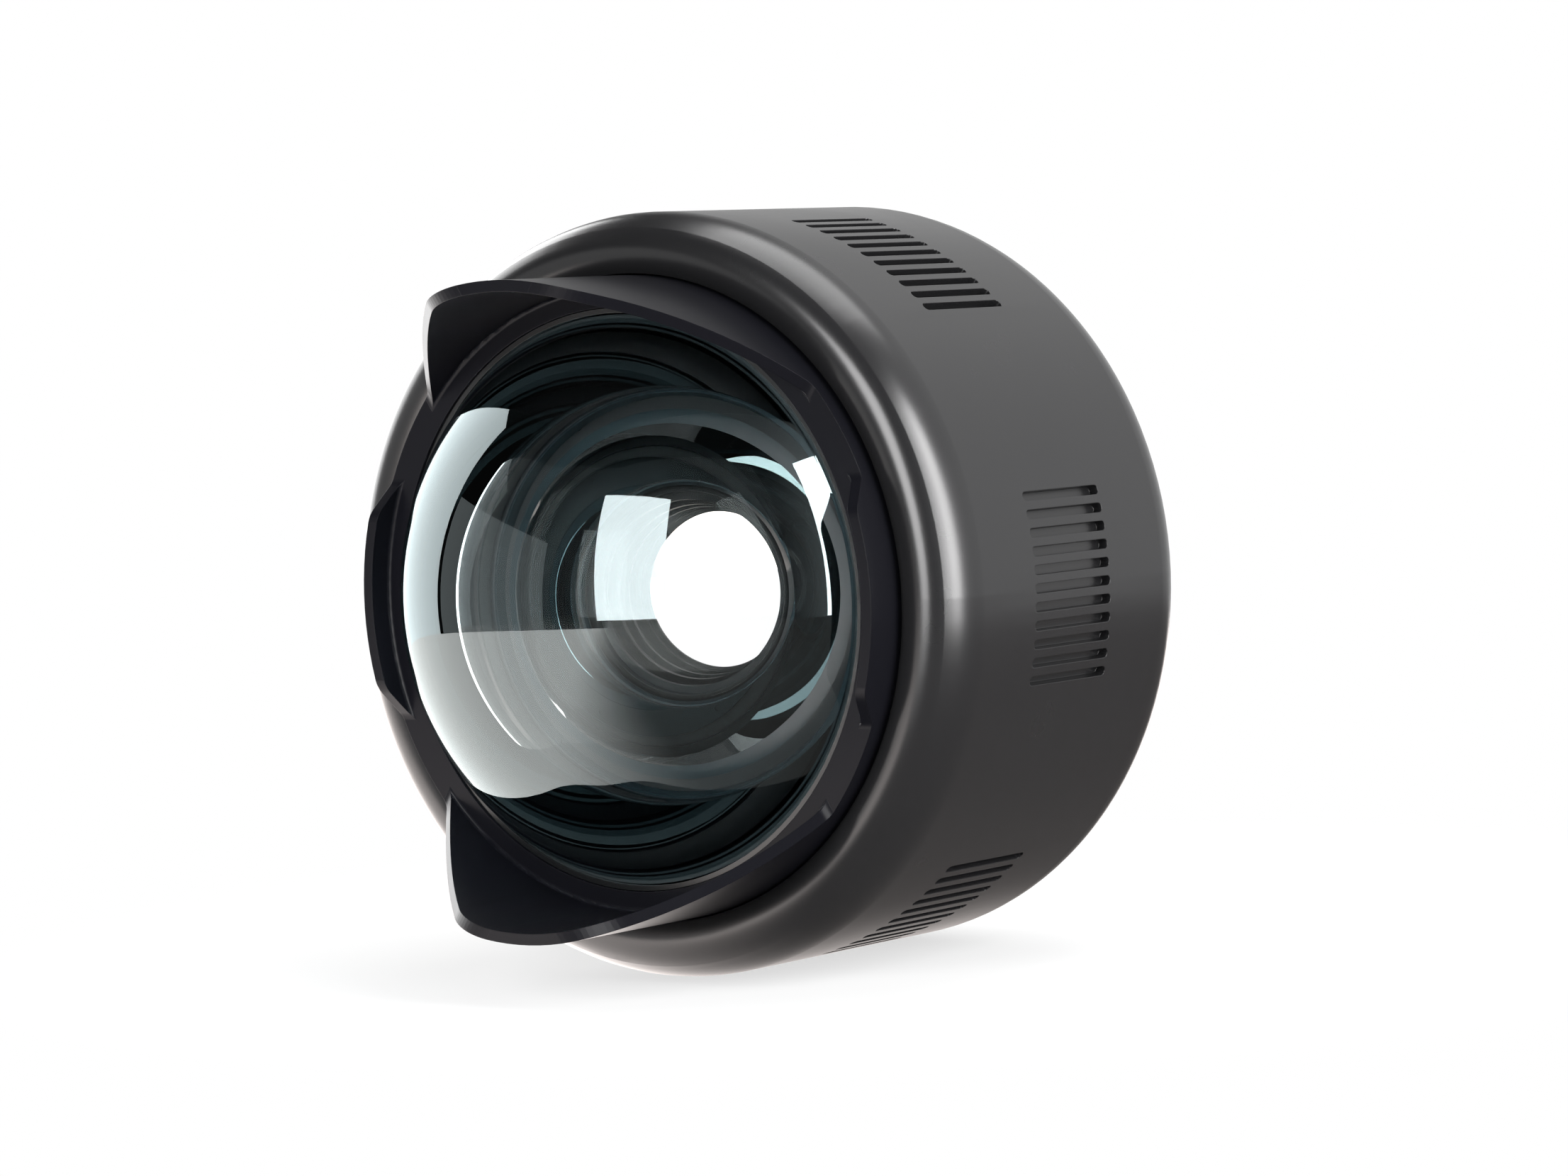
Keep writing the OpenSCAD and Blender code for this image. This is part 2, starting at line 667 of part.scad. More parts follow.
// Sixth element
module sixth_element() color([0.5, 0.62, 0.66, 0.35]) turned() difference() {
    union() {
        translate([0, sixth_back]) square([relay_r, sixth_edge_t]);
        cap(relay_r - relay_ring_w, sixth_bulge, sixth_back, false);
    }
    cap(relay_r - relay_ring_w, sixth_dish, sixth_front, false);
}

// Ring behind the sixth element
module sixth_retaining_ring() color([0.07, 0.07, 0.075])
    ring(relay_r - relay_ring_w, relay_r, sixth_back - sixth_ring_t, sixth_back);

// Cell of the rear element, screwed into the barrel's rear wall
module rear_cell() color([0.09, 0.09, 0.095]) turned() difference() {
    union() {
        translate([0, rear_cell_back]) square([rear_cell_r, barrel_back - rear_cell_back]);
        translate([0, barrel_back - rear_flange_t]) square([rear_flange_r, rear_flange_t]);
        translate([0, barrel_back]) square([rear_thread_r, rear_wall_t]);
    }
    translate([0, rear_cell_back - over]) square([rear_glass_r + slip_gap, rear_glass_front - rear_cell_back + over]);
    translate([0, rear_glass_front - over]) square([rear_glass_r - rear_ledge_w, rear_ledge_t + 2*over]);
    translate([0, rear_glass_front + rear_ledge_t])
        square([rear_glass_r - rear_ledge_w/2, rear_wall_t]);
}

// Seal under the rear cell's flange
module rear_cell_seal() color([0.03, 0.03, 0.03])
    face_seal(rear_seal_r, barrel_back);

// Rear element
module rear_element() color([0.5, 0.62, 0.66, 0.35]) turned() union() {
    translate([0, rear_glass_back]) square([rear_glass_r, rear_glass_edge_t]);
    cap(rear_glass_r - rear_ledge_w, rear_bulge, rear_glass_front, true);
}

// Ring behind the rear element
module rear_retaining_ring() color([0.07, 0.07, 0.075])
    ring(rear_glass_r - rear_ledge_w, rear_glass_r, rear_glass_back - rear_ring_t, rear_glass_back);

// Bayonet mount: flange, sealing spigot and lugs
module port_mount_ring() color([0.16, 0.16, 0.165]) difference() {
    union() {
        turned() difference() {
            union() {
                translate([mount_bore_r, 0]) square([flange_r - mount_bore_r, flange_t]);
                translate([mount_bore_r, -spigot_l]) square([spigot_r - mount_bore_r, spigot_l + over]);
                translate([mount_bore_r, lug_back])
                    square([lug_neck_r - mount_bore_r, -spigot_l - lug_back + over]);
            }
            translate([spigot_r + port_seal_proud - port_seal_h, port_seal_mid - port_seal_w/2])
                square([port_seal_h + over, port_seal_w]);
        }
        round_axis(lug_count, 90) intersection() {
            ring(lug_neck_r - over, lug_r, lug_back, neck_back_y);
            rotate([90, 0, 0]) translate([0, 0, lug_back - over]) linear_extrude(lug_t + 2*over) polygon(
                [[0, 0], spigot_d*[cos(lug_angle/2), -sin(lug_angle/2)], spigot_d*[cos(lug_angle/2), sin(lug_angle/2)]]);
        }
    }
    round_axis(screw_count, 180/screw_count) {
        rod(port_screw_r, big_screw_r + thread_gap, -over, flange_t + over);
        rod(port_screw_r, big_head_r + slip_gap, -over, big_head_sink + big_screw_d);
    }
}

// Cap screws that hold the mount to the barrel
module port_mount_screws() color([0.6, 0.6, 0.62]) {
    head_front = big_head_sink + big_screw_d;
    round_axis(screw_count, 180/screw_count) difference() {
        union() {
            rod(port_screw_r, big_head_r, big_head_sink, head_front);
            rod(port_screw_r, big_screw_r, head_front, barrel_back + screw_grip);
        }
        translate([port_screw_r, 0, 0]) rotate([90, 0, 0]) translate([0, 0, big_head_sink - over])
            cylinder(r = big_screw_r*0.8, h = over + big_screw_r, $fn = 6);
    }
}

// Seal between the mount and the barrel
module port_mount_seal() color([0.03, 0.03, 0.03])
    face_seal(mount_seal_r, barrel_back);

// Main seal of the spigot, drawn as the housing squeezes it
module port_o_ring() color([0.03, 0.03, 0.03])
    seal(spigot_r + port_seal_proud - port_seal_h, spigot_r + port_seal_proud, port_seal_mid);

// Cutter for what lies beyond one flank of a petal; the flank meets the ring at the angle half
module petal_flank(height, half, corner, rise, share) {
    middle = half*share;
    foot = petal_mid_r*sin(half - middle);
    top = foot - height/tan(rise);
    corner_run = corner*tan(rise/2);
    foot_r = min(petal_foot_round, height/2);
    foot_run = foot_r*tan(rise/2);
    steps = 12;
    foot_arc = [for (i = [2:steps]) [foot + foot_run, foot_r] - foot_r*[sin(rise*i/steps), cos(rise*i/steps)]];
    corner_arc = [for (i = [0:steps - 1]) [top - corner_run, height - corner]
                  + corner*[sin(rise*(1 - i/steps)), cos(rise*(1 - i/steps))]];
    end = corner_arc[steps - 1];
    outline = concat([[foot_arc[0][0], -2*over]], foot_arc, corner_arc,
                     [[end[0] - over, end[1] + over], [end[0] - over, height + 2*over],
                      [petal_mid_r, height + 2*over], [petal_mid_r, -2*over]]);
    at_angle(middle) translate([petal_cut_share*petal_bore_r, -hood_face, 0]) rotate([0, 90, 0])
        rotate([0, 0, 180]) linear_extrude(hood_r - petal_cut_share*petal_bore_r + over) polygon(outline);
}

// One petal about +X: a sector of tube with two trimmed flanks and a small inside radius at its foot
module petal(height, half, corner, rise, share) {
    wide = half + petal_spare_angle;
    reach = 2*hood_r;
    difference() {
        intersection() {
            turned() difference() {
                translate([petal_bore_r - petal_crease_round, hood_face - over])
                    square([hood_r - petal_bore_r + petal_crease_round, height + over]);
                translate([petal_bore_r - petal_crease_round, hood_face + petal_crease_round])
                    circle(r = petal_crease_round, $fn = 32);
                translate([petal_bore_r - petal_crease_round - over, hood_face + petal_crease_round])
                    square([petal_crease_round + over, height]);
            }
            rotate([90, 0, 0]) translate([0, 0, hood_face - 2*over]) linear_extrude(height + 4*over) polygon(
                [[0, 0], reach*[cos(wide), -sin(wide)], [reach, -reach*sin(wide)],
                 [reach, reach*sin(wide)], reach*[cos(wide), sin(wide)]]);
        }
        petal_flank(height, half, corner, rise, share);
        mirror([0, 0, 1]) petal_flank(height, half, corner, rise, share);
    }
}

// Petal hood: front ring, skirt over the nose and four petals
module petal_hood() color([0.13, 0.13, 0.15]) difference() {
    union() {
        turned() {
            translate([hood_bore_r, hood_ring_back]) square([hood_r - hood_bore_r, hood_ring_t]);
            translate([skirt_r, nose_back + end_gap]) square([hood_r - skirt_r, hood_face - nose_back - end_gap]);
        }
        for (a = [90, 270]) at_angle(a)
            petal(tall_petal_h, tall_petal_half, tall_petal_round, tall_petal_slope, tall_flank_share);
        for (a = [0, 180]) at_angle(a)
            petal(side_petal_h, side_petal_half, side_petal_round, side_petal_slope, side_flank_share);
    }
    round_axis(set_screw_count, 30) set_hole(small_screw_r + thread_gap, skirt_r - over, hood_r + over);
}

// A radial cylinder at the station of the set screws
module set_hole(radius, inner, outer)
    translate([inner, -set_groove_mid, 0]) rotate([0, 90, 0]) cylinder(r = radius, h = outer - inner, $fn = 32);

// Set screws that lock the hood on the nose
module hood_set_screws() color([0.6, 0.6, 0.62]) {
    tip = nose_r - set_groove_deep + end_gap/2;
    round_axis(set_screw_count, 30) difference() {
        set_hole(small_screw_r, tip, hood_r - end_gap);
        translate([hood_r - small_screw_d/2, -set_groove_mid, 0]) rotate([0, 90, 0])
            cylinder(r = small_screw_r*0.6, h = small_screw_d, $fn = 6);
    }
}

collar_shell();
collar_rear_plate();
collar_front_seal();
collar_rear_seal();
collar_plate_screws();
collar_mount_screws();
main_barrel();
front_element();
front_element_seal();
front_retaining_ring();
second_element();
second_retaining_ring();
inner_cell();
inner_cell_screws();
third_element();
third_retaining_ring();
doublet_front_element();
doublet_rear_element();
spacer_ring();
sixth_element();
sixth_retaining_ring();
rear_cell();
rear_cell_seal();
rear_element();
rear_retaining_ring();
port_mount_ring();
port_mount_screws();
port_mount_seal();
port_o_ring();
petal_hood();
hood_set_screws();
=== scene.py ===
"""Looks of a wide angle conversion port for an underwater housing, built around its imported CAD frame."""

import json
import math

import bpy
from mathutils import Matrix, Vector


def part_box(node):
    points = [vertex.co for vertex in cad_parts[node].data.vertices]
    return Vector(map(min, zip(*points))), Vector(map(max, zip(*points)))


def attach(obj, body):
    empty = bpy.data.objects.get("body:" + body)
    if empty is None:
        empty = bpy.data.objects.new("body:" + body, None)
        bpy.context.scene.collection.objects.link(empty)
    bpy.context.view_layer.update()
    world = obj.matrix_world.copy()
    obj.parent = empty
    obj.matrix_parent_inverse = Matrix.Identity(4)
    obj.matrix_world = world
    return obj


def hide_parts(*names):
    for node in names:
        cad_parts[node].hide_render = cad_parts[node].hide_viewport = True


bl_info = {
    "name": "Wide Angle Conversion Port",
    "version": (1, 0, 0),
    "blender": (4, 5, 0),
    "location": "View3D > Sidebar > Port",
    "description": "Dresses the packed CAD frame of a wide angle conversion port and builds its stage",
    "category": "Object",
}

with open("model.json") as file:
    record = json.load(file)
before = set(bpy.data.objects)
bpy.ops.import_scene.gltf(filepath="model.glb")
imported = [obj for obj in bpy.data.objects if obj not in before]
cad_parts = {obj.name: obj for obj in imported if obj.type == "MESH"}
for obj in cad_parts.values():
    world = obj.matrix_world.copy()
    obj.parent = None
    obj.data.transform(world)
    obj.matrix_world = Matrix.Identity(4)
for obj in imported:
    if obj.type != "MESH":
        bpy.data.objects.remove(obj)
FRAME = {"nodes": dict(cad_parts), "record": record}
NODES = FRAME["nodes"]
SLOT_OF = {row["node"]: row["material_slot"] for row in FRAME["record"]["subparts"]}
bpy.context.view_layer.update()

# One millimetre in metres
MM = 0.001

# Sides of a turned lens round the axis, and steps of each face from its rim to the axis
LENS_SIDES = 256
LENS_STEPS = 48

# A turned lens stays sharp where its faces meet at more than this many degrees
LENS_FOLD = 20

# Vertices that are this close to a plane lie in it
PLANE_SLACK = 0.01 * MM

# Grain of the blasted metal and depth of its pits. Real grit is finer than the render can show
GRAIN = 0.35 * MM
PIT_DEPTH = 0.05 * MM

# Width of the faint blotches in the anodising, of the marks on the screws and of the dust on the seals
BLOTCH = 45 * MM
TOOL_MARK = 0.6 * MM
DUST = 1.5 * MM

# The values of a noise texture that a change of gloss runs between
NOISE_LOW = 0.3
NOISE_HIGH = 0.7

# Strength of the white surroundings as the lenses pass them on, which makes up for what the faces reflect
LENS_LIGHT = 1.15

# Radius of the round table top in metres, and the number of its sides
TABLE_RADIUS = 0.75
TABLE_SIDES = 96

# Width of the camera's sensor in mm
SENSOR = 36

# Kinds of node that come up often, and the setting for a range with soft ends
PRINCIPLED = "ShaderNodeBsdfPrincipled"
NOISE = "ShaderNodeTexNoise"
MATH = "ShaderNodeMath"
MIX = "ShaderNodeMixShader"
RANGE = "ShaderNodeMapRange"
SOFT = {"interpolation_type": "SMOOTHSTEP"}


# Helpers


def linear(hexcode):
    """An sRGB hex colour as linear RGBA."""
    values = [int(hexcode[i : i + 2], 16) / 255 for i in (1, 3, 5)]
    return [v / 12.92 if v <= 0.04045 else ((v + 0.055) / 1.055) ** 2.4 for v in values] + [1.0]


def add(tree, kind, at=(0, 0), values=None, **settings):
    """Adds a node with its settings and input values. A socket, or a node for its first output, is linked."""
    made = tree.nodes.new(kind)
    made.location = at
    for name, value in settings.items():
        setattr(made, name, value)
    for name, value in (values or {}).items():
        if isinstance(value, bpy.types.Node):
            value = value.outputs[0]
        if isinstance(value, bpy.types.NodeSocket):
            tree.links.new(value, made.inputs[name])
        else:
            made.inputs[name].default_value = value
    return made


def fresh(name):
    """A new node material with only its output, and the tree and the output node."""
    material = bpy.data.materials.new(name)
    material.use_nodes = True
    tree = material.node_tree
    tree.nodes.clear()
    return material, tree, add(tree, "ShaderNodeOutputMaterial", (900, 0))


def finish(tree, out, surface):
    """Links a shader node to the output node of its tree."""
    tree.links.new(surface.outputs[0], out.inputs["Surface"])


def show(node, material):
    """Gives a CAD node one material and smooth shading between its sharp edges."""
    mesh = NODES[node].data
    mesh.materials.clear()
    mesh.materials.append(material)
    mesh.polygons.foreach_set("use_smooth", [True] * len(mesh.polygons))


# Materials


def anodised(name, colour, rough, grain=0.05, bevel=0.25, spec=0.5, cast="#FFFFFF"):
    """Bead-blasted, anodised aluminium: a fine grain, faint blotches and softly broken edges.

    grain is the strength of the pits, bevel the radius of the broken edges in mm, spec how much the skin
    reflects, and cast the colour of what it reflects.
    """
    material, tree, out = fresh(name)
    place = add(tree, "ShaderNodeTexCoord", (-900, 0)).outputs["Object"]
    fine = add(tree, NOISE, (-600, -300), {"Vector": place, "Scale": 1 / GRAIN, "Detail": 3.0})
    broad = add(tree, NOISE, (-600, 100), {"Vector": place, "Scale": 1 / BLOTCH, "Detail": 4.0})
    edge = add(tree, "ShaderNodeBevel", (-300, -500), {"Radius": bevel * MM}, samples=6)
    pits = {"Strength": grain, "Distance": PIT_DEPTH, "Height": fine, "Normal": edge}
    bump = add(tree, "ShaderNodeBump", (0, -300), pits)
    # The blotches change the roughness by 6 percent either way and lighten the colour by up to a quarter
    span = {"Value": broad, "From Min": NOISE_LOW, "From Max": NOISE_HIGH}
    gloss = add(tree, RANGE, (0, 100), {**span, "To Min": rough * 0.94, "To Max": rough * 1.06}, **SOFT)
    tones = {"Factor": broad, "A": linear(colour), "B": [c * 1.25 for c in linear(colour)]}
    shade = add(tree, "ShaderNodeMix", (0, 400), tones, data_type="RGBA")
    skin = {
        "Base Color": shade.outputs["Result"],
        "Roughness": gloss,
        "Specular IOR Level": spec,
        "Specular Tint": linear(cast),
        "Normal": bump,
    }
    finish(tree, out, add(tree, PRINCIPLED, (500, 0), skin))
    return material


def stainless(colour):
    """Turned stainless steel: small bright heads whose gloss changes a little with the tool marks."""
    material, tree, out = fresh("Stainless steel")
    place = add(tree, "ShaderNodeTexCoord", (-700, 0)).outputs["Object"]
    marks = add(tree, NOISE, (-500, 0), {"Vector": place, "Scale": 1 / TOOL_MARK, "Detail": 4.0})
    span = {"Value": marks, "From Min": NOISE_LOW, "From Max": NOISE_HIGH, "To Min": 0.22, "To Max": 0.34}
    gloss = add(tree, RANGE, (-200, 0), span, **SOFT)
    metal = {"Base Color": linear(colour), "Metallic": 1.0, "Roughness": gloss}
    finish(tree, out, add(tree, PRINCIPLED, (500, 0), metal))
    return material


def nitrile(colour):
    """Moulded nitrile rubber: a matt black line between the parts, with a little dust in its gloss."""
    material, tree, out = fresh("Black nitrile rubber")
    place = add(tree, "ShaderNodeTexCoord", (-700, 0)).outputs["Object"]
    dust = add(tree, NOISE, (-500, 0), {"Vector": place, "Scale": 1 / DUST, "Detail": 5.0})
    span = {"Value": dust, "From Min": NOISE_LOW, "From Max": NOISE_HIGH, "To Min": 0.5, "To Max": 0.68}
    gloss = add(tree, RANGE, (-200, 0), span, **SOFT)
    rubber = {"Base Color": linear(colour), "Roughness": gloss, "Specular IOR Level": 0.4}
    finish(tree, out, add(tree, PRINCIPLED, (500, 0), rubber))
    return material


def blackened_land(colour):
    """Ground glass under black paint: seen through the glass, the seat is a dull, dark ring."""
    material, tree, out = fresh("Blackened ground glass")
    paint = {"Base Color": linear(colour), "Roughness": 0.5}
    finish(tree, out, add(tree, PRINCIPLED, (500, 0), paint))
    return material


def coated_glass(name, s, index, shine, inner_shine, paint_from, clear=False):
    """Coated optical glass: clear from the front, with cool white reflections of the soft boxes.

    shine is how much of bare glass's reflection the coating leaves, and inner_shine how much of that is
    left from inside. Outside the radius paint_from, in mm, the glass is blackened as the ground edge of an
    element is. Clear glass doesn't bend the light.
    """
    material, tree, out = fresh(name)
    spot = add(tree, "ShaderNodeTexCoord", (-1300, -200)).outputs["Object"]
    place = add(tree, "ShaderNodeSeparateXYZ", (-1100, -200), {0: spot})
    across = add(tree, MATH, (-900, -100), {0: place.outputs["X"], 1: 2.0}, operation="POWER")
    upward = add(tree, MATH, (-900, -300), {0: place.outputs["Z"], 1: 2.0}, operation="POWER")
    square = add(tree, MATH, (-700, -200), {0: across, 1: upward}, operation="ADD")
    radius = add(tree, MATH, (-500, -200), {0: square}, operation="SQRT")
    # The paint starts within a tenth of a millimetre
    line = {"Value": radius, "From Min": (paint_from - 0.05) * MM, "From Max": (paint_from + 0.05) * MM}
    painted = add(tree, RANGE, (-300, -200), line, **SOFT)

    # The coating works best on light that comes straight, and leaves up to three times as much at a slant
    bare = add(tree, "ShaderNodeFresnel", (-1100, 300), {"IOR": index})
    slant = {"Value": bare, "From Min": 0.1, "From Max": 0.3, "To Min": shine, "To Max": min(3 * shine, 1.0)}
    left = add(tree, RANGE, (-900, 400), slant, **SOFT)
    inside = add(tree, "ShaderNodeNewGeometry", (-1100, 600)).outputs["Backfacing"]
    side = add(tree, RANGE, (-900, 600), {"Value": inside, "To Min": 1.0, "To Max": inner_shine}, **SOFT)
    coating = add(tree, MATH, (-700, 400), {0: left, 1: side}, operation="MULTIPLY")
    partly = add(tree, MATH, (-500, 300), {0: bare, 1: coating}, operation="MULTIPLY", use_clamp=True)
    # Light that strikes a face too flat to leave the glass is reflected whole, coated or not
    whole = add(tree, RANGE, (-500, 600), {"Value": bare, "From Min": 0.9, "From Max": 0.99}, **SOFT)
    amount = add(tree, MATH, (-300, 300), {0: partly, 1: whole}, operation="MAXIMUM")

    mirror = add(tree, "ShaderNodeBsdfGlossy", (-100, 100), {"Color": linear(s.coating), "Roughness": 0.0})
    if clear:
        body = add(tree, "ShaderNodeBsdfTransparent", (-100, 0), {"Color": linear(s.body)})
    else:
        bend = {"Color": linear(s.body), "Roughness": 0.0, "IOR": index}
        body = add(tree, "ShaderNodeBsdfRefraction", (-100, 0), bend)
    lens = add(tree, MIX, (200, 100), {0: amount, 1: body, 2: mirror})
    # The lamps reach the metal behind the glass straight, a little dimmed at each face
    shadow = add(tree, "ShaderNodeLightPath", (0, 500)).outputs["Is Shadow Ray"]
    straight = add(tree, "ShaderNodeBsdfTransparent", (0, -100), {"Color": linear(s.dimming)})
    lens = add(tree, MIX, (350, 100), {0: shadow, 1: lens, 2: straight})
    paint = add(tree, PRINCIPLED, (200, -200), {"Base Color": linear(s.paint), "Roughness": 0.45})
    finish(tree, out, add(tree, MIX, (500, 0), {0: painted, 1: lens, 2: paint}))
    return material


def table_top():
    """White table: it keeps the port's soft shadow close by and is plain white further off.

    To glossy rays it is a painted reflection instead: a glow that is no lamp, bright on the left and dim on
    the right, standing in for the studio's light falling on the table.
    """
    material, tree, out = fresh("White table")
    place = add(tree, "ShaderNodeTexCoord", (-900, 0)).outputs["Object"]
    spread = add(tree, "ShaderNodeVectorMath", (-700, 0), {0: place}, operation="LENGTH").outputs["Value"]
    # Distances from the axis in metres, and the share of plain white there
    near = {"Value": spread, "From Min": 0.12, "From Max": 0.28, "To Min": 0.65, "To Max": 1.0}
    fade = add(tree, RANGE, (-500, 0), near, **SOFT)
    path = add(tree, "ShaderNodeLightPath", (-900, 400))
    through = path.outputs["Is Transmission Ray"]
    seen = add(tree, MATH, (-500, 200), {0: fade, 1: path.outputs["Is Camera Ray"]}, operation="MULTIPLY")
    plain = add(tree, MATH, (-300, 200), {0: seen, 1: through}, operation="MAXIMUM")
    passed = add(tree, MATH, (-500, -100), {0: through, 1: LENS_LIGHT}, operation="MULTIPLY")
    level = add(tree, MATH, (-300, -100), {0: passed, 1: 1.0}, operation="MAXIMUM")
    white = add(tree, "ShaderNodeEmission", (-100, -200), {"Color": linear("#FFFFFF"), "Strength": level})
    lit = add(tree, "ShaderNodeBsdfDiffuse", (-100, 0), {"Color": linear("#E6E6E6")})
    top = add(tree, MIX, (300, 0), {0: plain, 1: lit, 2: white})
    # Places across the table in metres, and the strength of the painted reflection there, a glow that only
    # glossy rays see
    side = add(tree, "ShaderNodeSeparateXYZ", (-700, -300), {0: place}).outputs["X"]
    lights = {"Value": side, "From Min": -0.05, "From Max": 0.05, "To Min": 4.2, "To Max": 0.25}
    painted_reflection_strength = add(tree, RANGE, (-500, -300), lights, **SOFT)
    # The painted reflection: a warm white glow that stands in for the lit table in what the port mirrors
    painted_reflection = add(tree, "ShaderNodeEmission", (-100, -400), {"Color": linear("#FFF6F2"), "Strength": painted_reflection_strength})
    finish(tree, out, add(tree, MIX, (500, 0), {0: path.outputs["Is Glossy Ray"], 1: top, 2: painted_reflection}))
    return material


# Lenses


def cap(rim, sag, station):
    """Half section of a spherical face as (radius, station) in mm, from its rim to the axis.

    A negative sag turns the face round.
    """
    radius = (rim**2 + sag**2) / (2 * abs(sag))
    reach = 2 * math.atan2(abs(sag), rim)
    side = math.copysign(1, sag)
    angles = [reach * (1 - i / LENS_STEPS) for i in range(LENS_STEPS + 1)]
    return [(radius * math.sin(a), station + side * radius * (math.cos(a) - math.cos(reach))) for a in angles]


def lathe(name, section):
    """Turns a closed half section, in mm and from the axis to the axis, about the optical axis."""
    verts, faces, rows = [], [], []
    for r, station in section:
        if r < 1e-6:
            rows.append([len(verts)])
            verts.append((0.0, -station * MM, 0.0))
            continue
        rows.append(list(range(len(verts), len(verts) + LENS_SIDES)))
        for k in range(LENS_SIDES):
            a = 2 * math.pi * k / LENS_SIDES
            verts.append((r * MM * math.cos(a), -station * MM, r * MM * math.sin(a)))
    for low, high in zip(rows, rows[1:]):
        for k in range(LENS_SIDES):
            n = (k + 1) % LENS_SIDES
            ring = [high[k % len(high)], high[n % len(high)], low[n % len(low)], low[k % len(low)]]
            # At the axis two corners are one, and the face is a triangle
            faces.append(list(dict.fromkeys(ring)))
    mesh = bpy.data.meshes.new(name)
    mesh.from_pydata(verts, [], faces)
    mesh.polygons.foreach_set("use_smooth", [True] * len(mesh.polygons))
    mesh.set_sharp_from_angle(angle=math.radians(LENS_FOLD))
    mesh.validate()
    made = bpy.data.objects.new(name, mesh)
    bpy.context.scene.collection.objects.link(made)
    return made


def turned_lens(node, front, rear, bevel):
    """Turns a CAD element as a smooth lens, as long and as wide as the element.

    front and rear are (rim radius, sag) in mm. A face with a positive sag bulges out of the glass, and one
    with a negative sag is hollow. A rear sag of 0 is flat. bevel is the height of the front edge's chamfer.
    """
    low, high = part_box(node)
    edge = high.x / MM
    fore = -low.y / MM - max(front[1], 0)
    back = -high.y / MM + max(rear[1], 0)
    section = cap(*front, fore)[::-1] + [(edge, fore - bevel), (edge, back)]
    if rear[1]:
        section += cap(rear[0], -rear[1], back)
    else:
        section.append((0.0, back))
    made = lathe(node + "_glass", section)
    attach(made, "port")
    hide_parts(node)
    return made


# Settings


def length(text, note, value):
    """A length property in metres, given in mm."""
    return bpy.props.FloatProperty(name=text, description=note, default=value * MM, unit="LENGTH")


def number(text, note, value):
    """A plain number property."""
    return bpy.props.FloatProperty(name=text, description=note, default=value)


def tint(text, note, hexcode):
    """A colour property, kept as an sRGB hex value."""
    return bpy.props.StringProperty(name=text, description=note, default=hexcode)


class PortMetal(bpy.types.PropertyGroup):
    """Colours of the metal parts and the seals, and the collar's finish."""

    collar: tint("Collar", "Colour of the collar's anodising", "#161617")
    hood: tint("Hood", "Colour of the hood's anodising", "#0C0C10")
    barrel: tint("Barrel", "Colour of the barrel's anodising", "#2A3336")
    mount: tint("Mount", "Colour of the mount's anodising", "#1A1A1B")
    cell: tint("Cells", "Colour of the inner cells", "#0B0B0C")
    rings: tint("Front ring", "Colour of the ring round the front glass", "#0C0D0E")
    inner_rings: tint("Inner rings", "Colour of the rings behind the front glass", "#141C1F")
    ring_cast: tint("Inner rings' sheen", "Colour of what the inner rings reflect", "#8FAAB4")
    steel: tint("Screws", "Colour of the stainless screws", "#B4B6BA")
    seal: tint("Seals", "Colour of the rubber seals", "#0A0A0A")
    roughness: number("Roughness", "Roughness of the collar", 0.26)


class PortGlass(bpy.types.PropertyGroup):
    """Refractive indexes of the glass, and the colours of glass, coating and paint."""

    index: number("Front index", "Refractive index of the front glass, the second and the third element", 1.9)
    doublet_index: number("Doublet index", "Refractive index that sets what the doublet reflects", 1.5)
    sixth_index: number("Sixth index", "Refractive index of the sixth element", 1.95)
    rear_index: number("Rear index", "Refractive index of the rear element", 1.66)
    coating: tint("Coating", "Colour that the coating reflects", "#C9D6D8")
    body: tint("Glass", "Colour of the light that passes the glass", "#FFFFFF")
    dimming: tint("Dimming", "Colour of the lamps' light behind one face", "#F0F6F7")
    paint: tint("Edge paint", "Colour of the elements' blackened edges", "#0A0B0C")
    land: tint("Seat paint", "Colour of the front glass's blackened seat", "#182023")


class PortStage(bpy.types.PropertyGroup):
    """Camera and floor."""

    azimuth: number("Azimuth", "Camera azimuth in degrees", 37.2886)
    elevation: number("Elevation", "Camera elevation in degrees", 3.28905)
    roll: number("Roll", "Camera roll in degrees", -2.42553)
    lens: number("Focal length", "Focal length in mm on a 36 mm sensor", 121.287)
    eye: bpy.props.FloatVectorProperty(
        name="Eye",
        description="Where the camera stands",
        default=(0.81526, -1.12247, 0.07575),
        unit="LENGTH",
    )
    floor: length("Floor level", "Height of the floor, from the optical axis", -95)


# Operators


class PORT_OT_collar(bpy.types.Operator):
    """Finishes the buoyancy collar in satin black anodising"""

    bl_idname = "port.collar"
    bl_label = "Collar"

    def execute(self, context):
        s = context.scene.port_metal
        # Bead-blasted and anodised black: a satin skin on which each soft box lies as a long, soft band
        satin = anodised("Black anodised aluminium, collar", s.collar, s.roughness, grain=0.12, bevel=0.3)
        show("collar_shell", satin)
        show("collar_rear_plate", satin)
        return {"FINISHED"}


class PORT_OT_hood(bpy.types.Operator):
    """Finishes the petal hood in blue-black anodising"""

    bl_idname = "port.hood"
    bl_label = "Petal hood"

    def execute(self, context):
        s = context.scene.port_metal
        # A darker, bluish anodising that reflects little: near black, with a faint sheen along the lips
        show("petal_hood", anodised("Blue-black anodised aluminium", s.hood, 0.3, grain=0.1, spec=0.1))
        return {"FINISHED"}


